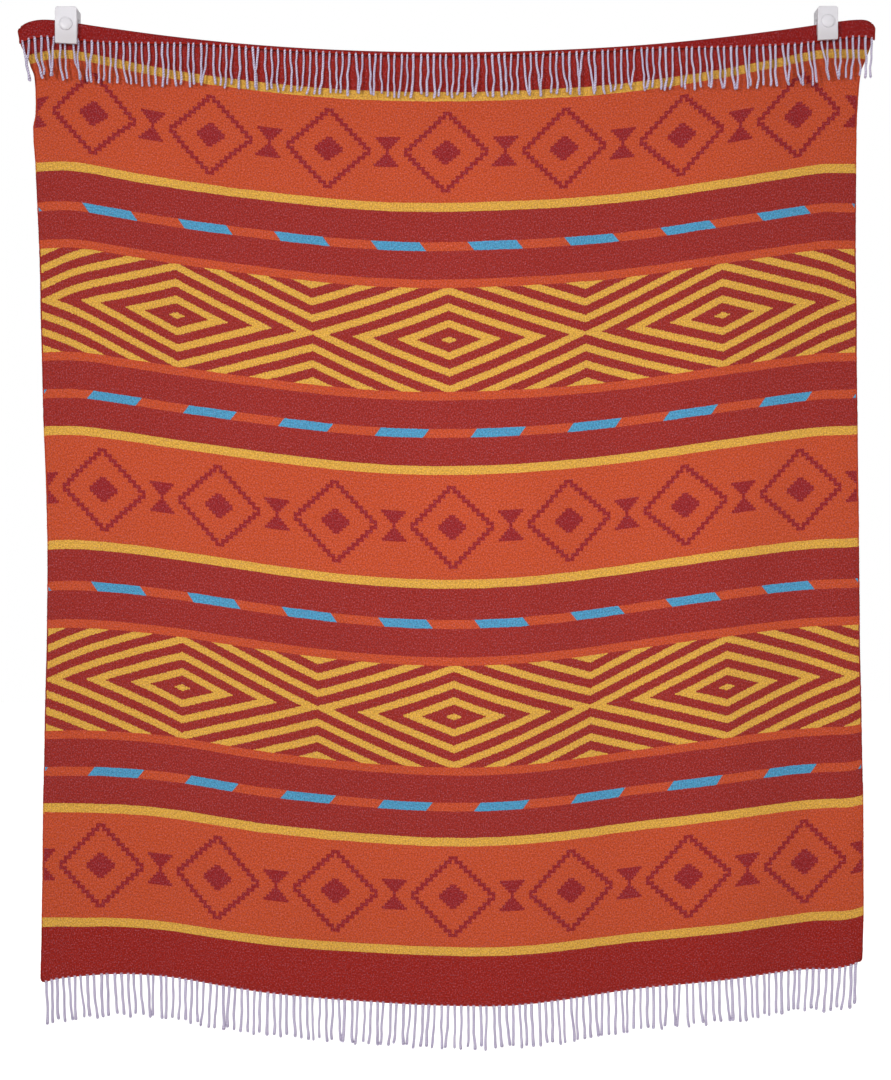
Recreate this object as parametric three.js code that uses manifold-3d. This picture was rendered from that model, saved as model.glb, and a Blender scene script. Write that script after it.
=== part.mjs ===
// A fringed wool throw blanket that hangs face on from two wall clips.
// Millimetres, +Z up. The wall is the plane y = 0, the blanket hangs in front of it towards -Y,
// and the origin lies on the wall, midway between the two clips.
import * as THREE from "three";
import { mergeVertices } from "three/addons/utils/BufferGeometryUtils.js";
import Module from "manifold-3d";

const wasm = await Module();
wasm.setup();
const { lerp, smoothstep, clamp } = THREE.MathUtils;

// The cloth as it was woven. Distances down the cloth are counted from its top cut end.
const clothWidth = 1270;
const clothLength = 1426;
const clothThickness = 2.8;
const foldRadius = 2.1;
const foldRow = 30;
const pieceGap = 0.3;

// How deep the folded-over end reaches down in front, and how far its selvedge is drawn in.
// It deepens from a share of the way out from the middle, a different one at each side.
const flap = {
  middle: 5,
  corner: 25.5,
  opensLeft: 0.5,
  opensRight: 0.4,
  opensTo: 0.9,
  insetLeft: 4,
  insetRight: 2,
  insetReach: 45,
};

// The fringes: strands along each cut end, and the narrow strip that joins their roots.
const fringe = {
  topStrands: 133,
  bottomStrands: 128,
  length: 63,
  lengthVariation: 3,
  rootRadius: 1.35,
  radius: 2.1,
  tipRadius: 1.6,
  lean: 2.1,
  sway: 2.4,
  bend: 1.4,
  settle: 0.35,
  stripGap: 0.35,
  stripHeight: 3,
  stripThickness: 2.9,
  rest: 0.7,
};

// How finely the surfaces are divided.
const columns = 42;
const flapRows = 2;
const turnRows = 4;
const bodyRows = 24;
const endCrowding = 0.55;
const topCrowding = 1.35;
const domeSteps = 5;
const buttonSegments = 24;

// Where each selvedge hangs, at distances down the cloth.
const selvedges = [
  { down: 30, left: -636, right: 634.5 },
  { down: 45, left: -633, right: 630 },
  { down: 58, left: -629, right: 627.5 },
  { down: 72, left: -621, right: 624.5 },
  { down: 88, left: -616, right: 618.5 },
  { down: 104, left: -610.5, right: 612.5 },
  { down: 160, left: -608.5, right: 607 },
  { down: 185, left: -612, right: 606 },
  { down: 240, left: -608.5, right: 605.5 },
  { down: 350, left: -603, right: 604.5 },
  { down: 570, left: -597, right: 606 },
  { down: 792, left: -590, right: 608.5 },
  { down: 1000, left: -592, right: 611 },
  { down: 1180, left: -596, right: 614.5 },
  { down: 1341, left: -598, right: 615.5 },
  { down: 1426, left: -600, right: 613.5 },
];

// Height of each woven row at the left selvedge, at its high point by the left clip, in the middle, at its
// high point by the right clip and at the right selvedge.
const rowHeights = [
  { down: 30, leftEdge: -2.5, left: 6.5, middle: -44, right: 6.5, rightEdge: 2.5 },
  { down: 72, leftEdge: -43, left: -34.5, middle: -100.5, right: -33.5, rightEdge: -35 },
  { down: 238, leftEdge: -202.5, left: -201, middle: -265, right: -204, rightEdge: -204 },
  { down: 351, leftEdge: -317, left: -316, middle: -378, right: -317.5, rightEdge: -317.5 },
  { down: 570, leftEdge: -538, left: -537.5, middle: -598, right: -538.5, rightEdge: -537.5 },
  { down: 792, leftEdge: -762, left: -760.5, middle: -819, right: -759, rightEdge: -757 },
  { down: 906, leftEdge: -879, left: -877.5, middle: -933, right: -874.5, rightEdge: -873 },
  { down: 1069.5, leftEdge: -1043, left: -1041, middle: -1094.5, right: -1037, rightEdge: -1032.5 },
  { down: 1341, leftEdge: -1319, left: -1317, middle: -1359, right: -1310, rightEdge: -1303 },
  { down: 1426, leftEdge: -1414, left: -1400, middle: -1445.5, right: -1395, rightEdge: -1384 },
];

// Where a row's two high points lie, and its shoulder: the larger it is, the more softly the row leaves them.
const highPoints = [
  { down: 30, left: -598, right: 615, shoulder: -0.08 },
  { down: 72, left: -570, right: 570, shoulder: -0.1 },
  { down: 238, left: -570, right: 570, shoulder: 0.08 },
  { down: 351, left: -565, right: 572, shoulder: 0.18 },
  { down: 570, left: -560, right: 574, shoulder: 0.3 },
  { down: 792, left: -555, right: 576, shoulder: 0.55 },
  { down: 906, left: -548, right: 578, shoulder: 0.64 },
  { down: 1069.5, left: -535, right: 578, shoulder: 0.66 },
  { down: 1341, left: -515, right: 575, shoulder: 0.45 },
  { down: 1426, left: -505, right: 550, shoulder: 0.6 },
];
const peakSoftness = 0.05;

// How far the cloth stands off the wall, at its selvedges and in its middle.
const standOff = [
  { down: 30, edge: 10, middle: 19 },
  { down: 104, edge: 10, middle: 24 },
  { down: 350, edge: 13, middle: 31 },
  { down: 792, edge: 15, middle: 36 },
  { down: 1180, edge: 15, middle: 33 },
  { down: 1426, edge: 16, middle: 29 },
];
const swellPower = 0.8;

// Soft upright folds: where across (0 to 1), how wide, and how far they stand forward at the top and the hem.
const softFolds = [
  { across: 0.055, width: 46, top: 2, hem: 7 },
  { across: 0.15, width: 62, top: -2, hem: -9 },
  { across: 0.27, width: 75, top: 3, hem: 8 },
  { across: 0.42, width: 85, top: -3, hem: -7 },
  { across: 0.57, width: 80, top: 4, hem: 6 },
  { across: 0.71, width: 70, top: -2, hem: -8 },
  { across: 0.83, width: 62, top: 3, hem: 7 },
  { across: 0.935, width: 46, top: -1, hem: -6 },
];
const foldsFadeIn = { from: -0.02, to: 0.12 };

// The clips: where each one sits and the outline of its front plate. Depths are counted from the wall.
const clips = [
  { name: "clip_left", x: -561.5, top: 26, bottom: -28.5, width: 32.5, buttonHeight: 0 },
  { name: "clip_right", x: 561.5, top: 26.6, bottom: -23, width: 30, buttonHeight: 4 },
];
const clothDepthInClip = 11.6;
const clip = {
  depth: 26,
  bridgeHeight: 9,
  lipHeight: -13,
  backRelief: 2.2,
  frontRelief: 3.4,
  corner: 2.6,
  button: { radius: 9.6, rim: 1.4, height: 3.8 },
  holdReach: 21,
  letGoReach: 95,
  holdHeight: -24,
  letGoHeight: -130,
};

const finish = {
  cloth: { color: 0x9a2a26, roughness: 0.95 },
  yarn: { color: 0xd9d4e6, roughness: 0.95 },
  clip: { color: 0xe3e0e2, roughness: 0.45 },
};

// The same small pseudo-random number, 0 to 1, for strand i and use k.
function chance(i, k) {
  const v = Math.sin(i * 12.9898 + k * 78.233) * 43758.5453;
  return v - Math.floor(v);
}

// A column of a table at a distance down the cloth, on a smooth curve through its rows.
function along(table, key, down) {
  let i = 0;
  while (i < table.length - 2 && table[i + 1].down < down) i += 1;
  const a = table[Math.max(i - 1, 0)];
  const b = table[i];
  const c = table[i + 1];
  const d = table[Math.min(i + 2, table.length - 1)];
  const span = c.down - b.down;
  const u = clamp((down - b.down) / span, 0, 1);
  const slopeB = ((c[key] - a[key]) / (c.down - a.down)) * span;
  const slopeC = ((d[key] - b[key]) / (d.down - b.down)) * span;
  const u2 = u * u;
  const u3 = u2 * u;
  const ends = (2 * u3 - 3 * u2 + 1) * b[key] + (3 * u2 - 2 * u3) * c[key];
  return ends + (u3 - 2 * u2 + u) * slopeB + (u3 - u2) * slopeC;
}

// From 0 at a high point to 1 in the middle: a parabola that starts softly, mixed with a cosine.
function sag(u, shoulder) {
  const w = (Math.hypot(u, peakSoftness) - peakSoftness) / (Math.hypot(1, peakSoftness) - peakSoftness);
  return (1 - shoulder) * (1 - (1 - w) ** 2) + (shoulder * (1 - Math.cos(Math.PI * w))) / 2;
}

// Height of a woven row at x.
function heightAt(down, x) {
  const leftX = along(selvedges, "left", down);
  const rightX = along(selvedges, "right", down);
  const leftPeak = along(highPoints, "left", down);
  const rightPeak = along(highPoints, "right", down);
  const shoulder = along(highPoints, "shoulder", down);
  const left = along(rowHeights, "left", down);
  const right = along(rowHeights, "right", down);
  const middle = along(rowHeights, "middle", down);
  if (x < leftPeak) {
    const u = (leftPeak - x) / (leftPeak - leftX);
    return left + (along(rowHeights, "leftEdge", down) - left) * u * u;
  }
  if (x > rightPeak) {
    const u = (x - rightPeak) / (rightX - rightPeak);
    return right + (along(rowHeights, "rightEdge", down) - right) * u * u;
  }
  if (x < 0) return left + (middle - left) * sag((x - leftPeak) / -leftPeak, shoulder);
  return right + (middle - right) * sag((rightPeak - x) / rightPeak, shoulder);
}

// How firmly a clip holds the cloth at a place: 1 in its jaws, 0 well away from them.
function clipHold(x, z) {
  const aside = Math.min(...clips.map((c) => Math.abs(x - c.x)));
  const upright = smoothstep(z, clip.letGoHeight, clip.holdHeight);
  return upright * (1 - smoothstep(aside, clip.holdReach, clip.letGoReach));
}

// How far the cloth's middle layer stands off the wall.
function depthAt(across, down, x, z) {
  const swell = Math.sin(Math.PI * across) ** swellPower;
  const fall = (down - foldRow) / (clothLength - foldRow);
  let depth = lerp(along(standOff, "edge", down), along(standOff, "middle", down), swell);
  for (const fold of softFolds) {
    const away = ((across - fold.across) * clothWidth) / fold.width;
    const rise = lerp(fold.top, fold.hem, fall) * smoothstep(fall, foldsFadeIn.from, foldsFadeIn.to);
    depth += rise * Math.exp(-away * away);
  }
  return lerp(depth, clothDepthInClip, clipHold(x, z));
}

// A point of the hanging part: across is 0 at the left selvedge and 1 at the right one.
function bodyPoint(across, down) {
  const x = lerp(along(selvedges, "left", down), along(selvedges, "right", down), across);
  const z = heightAt(down, x);
  return new THREE.Vector3(x, -depthAt(across, down, x, z), z);
}

function flapDepth(across) {
  const opensFrom = across < 0.5 ? flap.opensLeft : flap.opensRight;
  return lerp(flap.middle, flap.corner, smoothstep(Math.abs(2 * across - 1), opensFrom, flap.opensTo));
}

// A point of the cloth's middle layer. Way runs from 0 at the top cut end to 1 up the flap, to 2 over the
// fold and to 3 at the hem.
function clothPoint(across, way) {
  if (way >= 2) {
    const share = (way - 2) ** topCrowding;
    return bodyPoint(across, lerp(foldRow, clothLength, share));
  }
  const point = bodyPoint(across, foldRow);
  const inFront = clamp(2 - way, 0, 1);
  const fromLeft = (across * clothWidth) / flap.insetReach;
  const fromRight = ((1 - across) * clothWidth) / flap.insetReach;
  point.x += inFront * (flap.insetLeft * Math.exp(-fromLeft) - flap.insetRight * Math.exp(-fromRight));
  const straight = flapDepth(across) - foldRadius - clothThickness / 2;
  const angle = Math.PI * (1 - inFront);
  point.y -= foldRadius * (1 + Math.cos(angle));
  point.z += foldRadius * Math.sin(angle) - Math.max(1 - way, 0) * straight;
  return point;
}

// The way out of the cloth on the outer side of the fold, which looks forwards on the flap and towards the
// wall on the hanging part.
function clothNormal(across, way) {
  const step = 1e-3;
  const a = clamp(across, step, 1 - step);
  const w = clamp(way, step, 3 - step);
  const aside = clothPoint(a + step, w).sub(clothPoint(a - step, w));
  const onwards = clothPoint(a, w + step).sub(clothPoint(a, w - step));
  return aside.cross(onwards).normalize();
}

// Places across the cloth, closer together near the selvedges.
function acrossAt(column) {
  const u = column / columns;
  return u - (endCrowding * Math.sin(2 * Math.PI * u)) / (2 * Math.PI);
}

function wayAt(row) {
  if (row <= flapRows) return row / flapRows;
  if (row <= flapRows + turnRows) return 1 + (row - flapRows) / turnRows;
  return 2 + (row - flapRows - turnRows) / bodyRows;
}

function geometryFrom(points, faces) {
  const geometry = new THREE.BufferGeometry();
  geometry.setAttribute("position", new THREE.Float32BufferAttribute(points.flatMap((p) => p.toArray()), 3));
  geometry.setIndex(faces.flat());
  return geometry;
}

// Two triangles for a four-sided face whose corners run anticlockwise seen from outside.
function quad(a, b, c, d) {
  return [a, b, c, a, c, d];
}

// The cloth: an inner and an outer skin half a thickness either side of its middle layer, closed by a rim.
function clothGeometry() {
  const rowCount = flapRows + turnRows + bodyRows + 1;
  const skins = [1, -1].map((side) => {
    const skin = [];
    for (let row = 0; row < rowCount; row++)
      for (let column = 0; column <= columns; column++) {
        const across = acrossAt(column);
        const way = wayAt(row);
        const offset = clothNormal(across, way).multiplyScalar((side * clothThickness) / 2);
        skin.push(clothPoint(across, way).add(offset));
      }
    return skin;
  });
  const size = skins[0].length;
  const at = (side, row, column) => side * size + row * (columns + 1) + column;
  const faces = [];
  for (let row = 0; row < rowCount - 1; row++)
    for (let column = 0; column < columns; column++)
      for (const side of [0, 1]) {
        const corners = [
          at(side, row, column),
          at(side, row, column + 1),
          at(side, row + 1, column + 1),
          at(side, row + 1, column),
        ];
        faces.push(quad(...(side ? corners.reverse() : corners)));
      }
  for (let row = 0; row < rowCount - 1; row++) {
    faces.push(quad(at(0, row + 1, 0), at(1, row + 1, 0), at(1, row, 0), at(0, row, 0)));
    const edge = [at(0, row, columns), at(1, row, columns), at(1, row + 1, columns), at(0, row + 1, columns)];
    faces.push(quad(...edge));
  }
  const last = rowCount - 1;
  for (let column = 0; column < columns; column++) {
    const next = column + 1;
    faces.push(quad(at(0, 0, column), at(1, 0, column), at(1, 0, next), at(0, 0, next)));
    faces.push(quad(at(0, last, next), at(1, last, next), at(1, last, column), at(0, last, column)));
  }
  return geometryFrom(skins.flat(), faces);
}

// A closed tube through rings that each hold the same number of points, with flat ends.
function tubeGeometry(rings) {
  const sides = rings[0].length;
  const faces = [];
  for (let i = 0; i < rings.length - 1; i++)
    for (let k = 0; k < sides; k++) {
      const next = (k + 1) % sides;
      faces.push(quad(i * sides + k, i * sides + next, (i + 1) * sides + next, (i + 1) * sides + k));
    }
  const end = (rings.length - 1) * sides;
  for (let k = 1; k < sides - 1; k++) {
    faces.push([0, k + 1, k]);
    faces.push([end, end + k, end + k + 1]);
  }
  return geometryFrom(rings.flat(), faces);
}

// The strip that joins a fringe's roots. It runs under a cut end, a small gap away from the cloth.
function stripGeometry(end) {
  const rings = [];
  for (let column = 0; column <= columns; column++) {
    const across = acrossAt(column);
    const edge = clothPoint(across, end.way);
    const out = clothNormal(across, end.way).multiplyScalar((fringe.stripThickness / 2) * end.outward);
    const top = edge.clone().setZ(edge.z - fringe.stripGap);
    const bottom = top.clone().setZ(top.z - fringe.stripHeight);
    const corners = [top.clone().sub(out), top.clone().add(out)];
    rings.push([...corners, bottom.clone().add(out), bottom.clone().sub(out)]);
  }
  return tubeGeometry(rings);
}

// How far down the cloth its hanging part reaches a height. A step down the cloth lowers it by about as much,
// so a few corrections find the place.
function downAtHeight(across, z) {
  let down = foldRow;
  for (let i = 0; i < 10; i++) down += bodyPoint(across, down).z - z;
  return down;
}

// One three-sided strand. It starts inside the strip and leans a little. A top strand lies on the cloth
// behind it.
function strandGeometry(end, index) {
  const across = (index + 0.5) / end.strands;
  const root = clothPoint(across, end.way);
  root.z -= fringe.stripGap + fringe.stripHeight / 2;
  const length = fringe.length + fringe.lengthVariation * (2 * chance(index, end.seed) - 1);
  const lean = fringe.lean * (2 * chance(index, end.seed + 1) - 1);
  const sway = fringe.sway * Math.sin(across * end.swayTurns + end.seed);
  const stations = [
    { share: 0, radius: fringe.rootRadius },
    { share: 0.35, radius: fringe.radius },
    { share: 0.7, radius: fringe.radius },
    { share: 1, radius: fringe.tipRadius },
  ];
  const rings = stations.map(({ share, radius }) => {
    const centre = root.clone();
    centre.x += (lean + sway) * share ** fringe.bend;
    centre.z -= length * share;
    if (end.onCloth) {
      const behind = bodyPoint(across, downAtHeight(across, centre.z));
      const resting = behind.y - clothThickness / 2 - fringe.rest - radius / 2;
      centre.y = lerp(root.y, resting, smoothstep(share, 0, fringe.settle));
    }
    return [150, 30, -90].map((degrees) => {
      const angle = THREE.MathUtils.degToRad(degrees);
      const aside = radius * Math.cos(angle);
      const deep = radius * Math.sin(angle);
      return new THREE.Vector3(centre.x + aside, centre.y + deep, centre.z);
    });
  });
  return tubeGeometry(rings);
}

// A closed geometry as a solid that can be joined and cut, and back again.
function solidOf(geometry) {
  const bare = new THREE.BufferGeometry();
  bare.setAttribute("position", geometry.getAttribute("position"));
  if (geometry.index) bare.setIndex(geometry.index);
  const merged = mergeVertices(bare, 1e-4);
  return new wasm.Manifold(
    new wasm.Mesh({
      numProp: 3,
      vertProperties: new Float32Array(merged.attributes.position.array),
      triVerts: new Uint32Array(merged.index.array),
    }),
  );
}

function geometryOf(solid) {
  const mesh = solid.getMesh();
  const geometry = new THREE.BufferGeometry();
  geometry.setAttribute("position", new THREE.BufferAttribute(mesh.vertProperties, 3));
  geometry.setIndex(new THREE.BufferAttribute(mesh.triVerts, 1));
  return geometry;
}

function fringeGeometry(end) {
  let solid = solidOf(stripGeometry(end));
  for (let index = 0; index < end.strands; index++) solid = solid.add(solidOf(strandGeometry(end, index)));
  return geometryOf(solid);
}

// Ways in the part's frame, seen from the front: out from the wall, up, and to the right.
const outwards = new THREE.Vector3(0, -1, 0);
const upwards = new THREE.Vector3(0, 0, 1);
const sideways = new THREE.Vector3(1, 0, 0);

// A clip: a back plate on the wall, a bridge over the folded cloth and a front plate, in one piece, open
// below.
function clipGeometry(place) {
  const back = clothDepthInClip - clothThickness / 2 - pieceGap;
  const front = clothDepthInClip + 2 * foldRadius + clothThickness / 2 + pieceGap;
  const side = new THREE.Shape();
  side.moveTo(0, place.bottom);
  side.lineTo(back - clip.backRelief, place.bottom);
  side.lineTo(back - clip.backRelief, clip.lipHeight - clip.backRelief);
  side.lineTo(back, clip.lipHeight);
  side.lineTo(back, clip.bridgeHeight);
  side.lineTo(front, clip.bridgeHeight);
  side.lineTo(front, clip.lipHeight);
  side.lineTo(front + clip.frontRelief, clip.lipHeight - clip.frontRelief);
  side.lineTo(front + clip.frontRelief, place.bottom);
  side.lineTo(clip.depth, place.bottom);
  side.lineTo(clip.depth, place.top);
  side.lineTo(0, place.top);
  const wide = new THREE.ExtrudeGeometry(side, { depth: place.width, bevelEnabled: false, steps: 1 });
  wide.translate(0, 0, -place.width / 2);
  wide.applyMatrix4(new THREE.Matrix4().makeBasis(outwards, upwards, sideways.clone().negate()));
  const half = place.width / 2;
  const outline = new THREE.Shape();
  outline.moveTo(-half, place.bottom);
  outline.lineTo(half, place.bottom);
  outline.lineTo(half, place.top - clip.corner);
  outline.lineTo(half - clip.corner, place.top);
  outline.lineTo(clip.corner - half, place.top);
  outline.lineTo(-half, place.top - clip.corner);
  const deep = new THREE.ExtrudeGeometry(outline, { depth: clip.depth, bevelEnabled: false, steps: 1 });
  deep.applyMatrix4(new THREE.Matrix4().makeBasis(sideways, upwards, outwards));
  return geometryOf(solidOf(wide).intersect(solidOf(deep)));
}

// The low domed button on a clip's front plate, turned about the direction that faces out from the wall.
function buttonGeometry() {
  const { radius, rim, height } = clip.button;
  const profile = [new THREE.Vector2(0, 0), new THREE.Vector2(radius, 0), new THREE.Vector2(radius, rim)];
  for (let i = 1; i < domeSteps; i++) {
    const angle = (i / domeSteps) * (Math.PI / 2);
    profile.push(new THREE.Vector2(radius * Math.cos(angle), rim + (height - rim) * Math.sin(angle)));
  }
  profile.push(new THREE.Vector2(0, height));
  const geometry = new THREE.LatheGeometry(profile, buttonSegments);
  geometry.rotateX(Math.PI);
  return geometryOf(solidOf(geometry));
}

function meshOf(name, geometry, look) {
  const mesh = new THREE.Mesh(geometry, new THREE.MeshStandardMaterial({ ...look, metalness: 0 }));
  mesh.name = name;
  return mesh;
}

// The two cut ends: where each one lies along the cloth, the side its strip faces, and how its strands hang.
const topEnd = { way: 0, outward: 1, strands: fringe.topStrands, seed: 3, swayTurns: 9, onCloth: true };
const bottomEnd = {
  way: 3,
  outward: -1,
  strands: fringe.bottomStrands,
  seed: 11,
  swayTurns: 7,
  onCloth: false,
};

const blanket = new THREE.Group();
blanket.add(meshOf("cloth", clothGeometry(), finish.cloth));
blanket.add(meshOf("fringe_top", fringeGeometry(topEnd), finish.yarn));
blanket.add(meshOf("fringe_bottom", fringeGeometry(bottomEnd), finish.yarn));
for (const place of clips) {
  blanket.add(meshOf(place.name, clipGeometry(place), finish.clip));
  const button = meshOf(place.name + "_button", buttonGeometry(), finish.clip);
  button.position.set(place.x, -clip.depth - pieceGap, place.buttonHeight);
  blanket.add(button);
  blanket.getObjectByName(place.name).position.x = place.x;
}

export default blanket;
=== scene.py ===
import bmesh
import bpy
import numpy as np
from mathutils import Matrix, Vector


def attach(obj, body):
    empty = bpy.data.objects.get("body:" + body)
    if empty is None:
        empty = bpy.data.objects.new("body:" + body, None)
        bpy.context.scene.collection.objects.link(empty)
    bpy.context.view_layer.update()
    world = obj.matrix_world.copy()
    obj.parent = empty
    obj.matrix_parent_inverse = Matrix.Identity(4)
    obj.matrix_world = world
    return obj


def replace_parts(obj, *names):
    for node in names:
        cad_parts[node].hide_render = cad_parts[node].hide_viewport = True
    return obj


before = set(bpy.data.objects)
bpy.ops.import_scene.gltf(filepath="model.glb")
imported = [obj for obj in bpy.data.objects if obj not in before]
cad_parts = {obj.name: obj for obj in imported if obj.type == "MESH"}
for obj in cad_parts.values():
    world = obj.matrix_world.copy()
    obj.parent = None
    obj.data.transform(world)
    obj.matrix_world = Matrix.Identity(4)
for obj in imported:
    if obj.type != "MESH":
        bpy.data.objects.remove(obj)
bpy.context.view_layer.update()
mm = 0.001  # sizes below are in millimetres, and meshes are in metres

# The throw as it was woven, and how it hangs. Distances down the cloth start at its top cut end.
cloth = {
    "width": 1270,
    "length": 1426,
    "thickness": 2.8,
    "foldRadius": 2.1,
    "foldRow": 30,  # the row that the top end is folded over at
    "columns": 214,
    "flapRows": 7,
    "turnRows": 9,
    "bodyRows": 186,
    "rimSteps": 3,
    "sideCrowding": 0.4,  # columns stand closer near the selvedges
    "topCrowding": 1.2,
    "rippleHeight": 0.55,
    "flapShadowReach": 3.4,  # how far down the painted shadow below the flap reaches
}
flap = {  # it deepens from a share of the way out from the middle, a different one at each side
    "middle": 5,
    "corner": 25.5,
    "opensLeft": 0.5,
    "opensRight": 0.4,
    "opensTo": 0.9,
    "insetLeft": 4,
    "insetRight": 2,
    "insetReach": 45,
}

rounding = {  # the radii of the cloth's corners, and how far in each one is felt
    "foldLeft": 4.5,
    "foldRight": 6,
    "hem": 5.5,
    "reach": 9,
}
selvedges = {  # where each selvedge hangs, at distances down the cloth
    "down": [30, 45, 58, 72, 88, 104, 160, 185, 240, 350, 570, 792, 1000, 1180, 1341, 1426],
    "left": [
        -636, -633, -629, -621, -616, -610.5, -608.5, -612,
        -608.5, -603, -597, -590, -592, -596, -598, -600,
    ],
    "right": [
        634.5, 630, 627.5, 624.5, 618.5, 612.5, 607, 606,
        605.5, 604.5, 606, 608.5, 611, 614.5, 615.5, 613.5,
    ],
}
rowHeights = {  # of a woven row at its left end, left high point, middle, right high point and right end
    "down": [30, 72, 238, 351, 570, 792, 906, 1069.5, 1341, 1426],
    "leftEdge": [-2.5, -43, -202.5, -317, -538, -762, -879, -1043, -1319, -1414],
    "left": [6.5, -34.5, -201, -316, -537.5, -760.5, -877.5, -1041, -1317, -1400],
    "middle": [-44, -100.5, -265, -378, -598, -819, -933, -1094.5, -1359, -1445.5],
    "right": [6.5, -33.5, -204, -317.5, -538.5, -759, -874.5, -1037, -1310, -1395],
    "rightEdge": [2.5, -35, -204, -317.5, -537.5, -757, -873, -1032.5, -1303, -1384],
}
highPoints = {  # where a row's high points lie, and how softly the row leaves them
    "down": [30, 72, 238, 351, 570, 792, 906, 1069.5, 1341, 1426],
    "left": [-598, -570, -570, -565, -560, -555, -548, -535, -515, -505],
    "right": [615, 570, 570, 572, 574, 576, 578, 578, 575, 550],
    "shoulder": [-0.08, -0.1, 0.08, 0.18, 0.3, 0.55, 0.64, 0.66, 0.45, 0.6],
    "softness": 0.05,
}
standOff = {  # how far the cloth stands off the wall
    "down": [30, 104, 350, 792, 1180, 1426],
    "edge": [10, 10, 13, 15, 15, 16],
    "middle": [19, 24, 31, 36, 33, 29],
    "swellPower": 0.8,
}
softFolds = {  # upright folds: where across, how wide, how far forward at the top and at the hem
    "across": [0.055, 0.15, 0.27, 0.42, 0.57, 0.71, 0.83, 0.935],
    "width": [46, 62, 75, 85, 80, 70, 62, 46],
    "top": [2, -2, 3, -3, 4, -2, 3, -1],
    "hem": [7, -9, 8, -7, 6, -8, 7, -6],
    "fadeFrom": -0.02,
    "fadeTo": 0.12,
}
ripples = {  # faint waves: wavelength across and down, turned by a phase
    "across": [310, -240, 170, 420, -130],
    "down": [520, 350, 610, 190, 260],
    "phase": [0.4, 2.1, 3.7, 5.0, 1.3],
    "share": [1.0, 0.8, 0.6, 0.7, 0.45],
}
clipHold = {  # where the clips hold the cloth, how far off the wall, and how it leaves them aside and below
    "left": -561.5,
    "right": 561.5,
    "depth": 11.6,
    "reach": 21,
    "letGo": 95,
    "full": -24,
    "none": -130,
}


def mixed(a, b, share):
    return a + (b - a) * share


def smooth(x, low, high):
    t = np.clip((x - low) / (high - low), 0, 1)
    return t * t * (3 - 2 * t)


def unit(vectors):
    return vectors / np.linalg.norm(vectors, axis=-1, keepdims=True)


def chance(index, use):  # a number from 0 to 1, the same each run
    value = np.sin(index * 12.9898 + use * 78.233) * 43758.5453
    return value - np.floor(value)


def along(table, column, down):  # cubic pieces through the rows, with slopes from each row's neighbours
    rows = np.array(table["down"], float)
    values = np.array(table[column], float)
    i = np.clip(np.searchsorted(rows, down) - 1, 0, len(rows) - 2)
    before = np.maximum(i - 1, 0)
    after = np.minimum(i + 2, len(rows) - 1)
    span = rows[i + 1] - rows[i]
    u = np.clip((down - rows[i]) / span, 0, 1)
    slopeIn = (values[i + 1] - values[before]) / (rows[i + 1] - rows[before]) * span
    slopeOut = (values[after] - values[i]) / (rows[after] - rows[i]) * span
    ends = (2 * u**3 - 3 * u**2 + 1) * values[i] + (3 * u**2 - 2 * u**3) * values[i + 1]
    return ends + (u**3 - 2 * u**2 + u) * slopeIn + (u**3 - u**2) * slopeOut


def sag(u, shoulder):  # 0 at a high point, 1 in the middle: a softened parabola mixed with a cosine
    soft = highPoints["softness"]
    w = (np.hypot(u, soft) - soft) / (np.hypot(1, soft) - soft)
    return (1 - shoulder) * (1 - (1 - w) ** 2) + shoulder * (1 - np.cos(np.pi * w)) / 2


def rowHeight(down, x):  # falls from its high points by a square towards the selvedges and by sag() inwards
    leftX, rightX = along(selvedges, "left", down), along(selvedges, "right", down)
    leftPeak, rightPeak = along(highPoints, "left", down), along(highPoints, "right", down)
    shoulder = along(highPoints, "shoulder", down)
    left, right = along(rowHeights, "left", down), along(rowHeights, "right", down)
    middle = along(rowHeights, "middle", down)
    leftFall = along(rowHeights, "leftEdge", down) - left
    rightFall = along(rowHeights, "rightEdge", down) - right
    leftEnd = left + leftFall * ((leftPeak - x) / (leftPeak - leftX)) ** 2
    rightEnd = right + rightFall * ((x - rightPeak) / (rightX - rightPeak)) ** 2
    leftHalf = left + (middle - left) * sag((x - leftPeak) / -leftPeak, shoulder)
    rightHalf = right + (middle - right) * sag((rightPeak - x) / rightPeak, shoulder)
    return np.select([x < leftPeak, x > rightPeak, x < 0], [leftEnd, rightEnd, leftHalf], rightHalf)


def heldByClip(x, z):  # 1 in a clip's jaws and 0 well away from them
    aside = np.minimum(np.abs(x - clipHold["left"]), np.abs(x - clipHold["right"]))
    highUp = smooth(z, clipHold["none"], clipHold["full"])
    return highUp * (1 - smooth(aside, clipHold["reach"], clipHold["letGo"]))


def rippleAt(across, down):  # a sum of slanting sine waves that fade out towards the fold
    waves = sum(
        share * np.sin(2 * np.pi * (across * cloth["width"] / a + down / d) + phase)
        for a, d, phase, share in zip(*(ripples[k] for k in ("across", "down", "phase", "share")))
    )
    return cloth["rippleHeight"] * waves * smooth(down, cloth["foldRow"], 3 * cloth["foldRow"])


def standOffAt(across, down, x, z):  # swells to the middle, with the soft folds and ripples on top
    swell = np.sin(np.pi * np.clip(across, 0, 1)) ** standOff["swellPower"]
    fall = (down - cloth["foldRow"]) / (cloth["length"] - cloth["foldRow"])
    depth = mixed(along(standOff, "edge", down), along(standOff, "middle", down), swell)
    begun = smooth(fall, softFolds["fadeFrom"], softFolds["fadeTo"])
    for place, width, top, hem in zip(*(softFolds[k] for k in ("across", "width", "top", "hem"))):
        away = (across - place) * cloth["width"] / width
        depth = depth + mixed(top, hem, fall) * begun * np.exp(-away * away)
    return mixed(depth + rippleAt(across, down), clipHold["depth"], heldByClip(x, z))


def bodyPoint(across, down):  # a point of the hanging part
    x = mixed(along(selvedges, "left", down), along(selvedges, "right", down), across)
    z = rowHeight(down, x)
    return np.stack([x, -standOffAt(across, down, x, z), z], -1)


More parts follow.
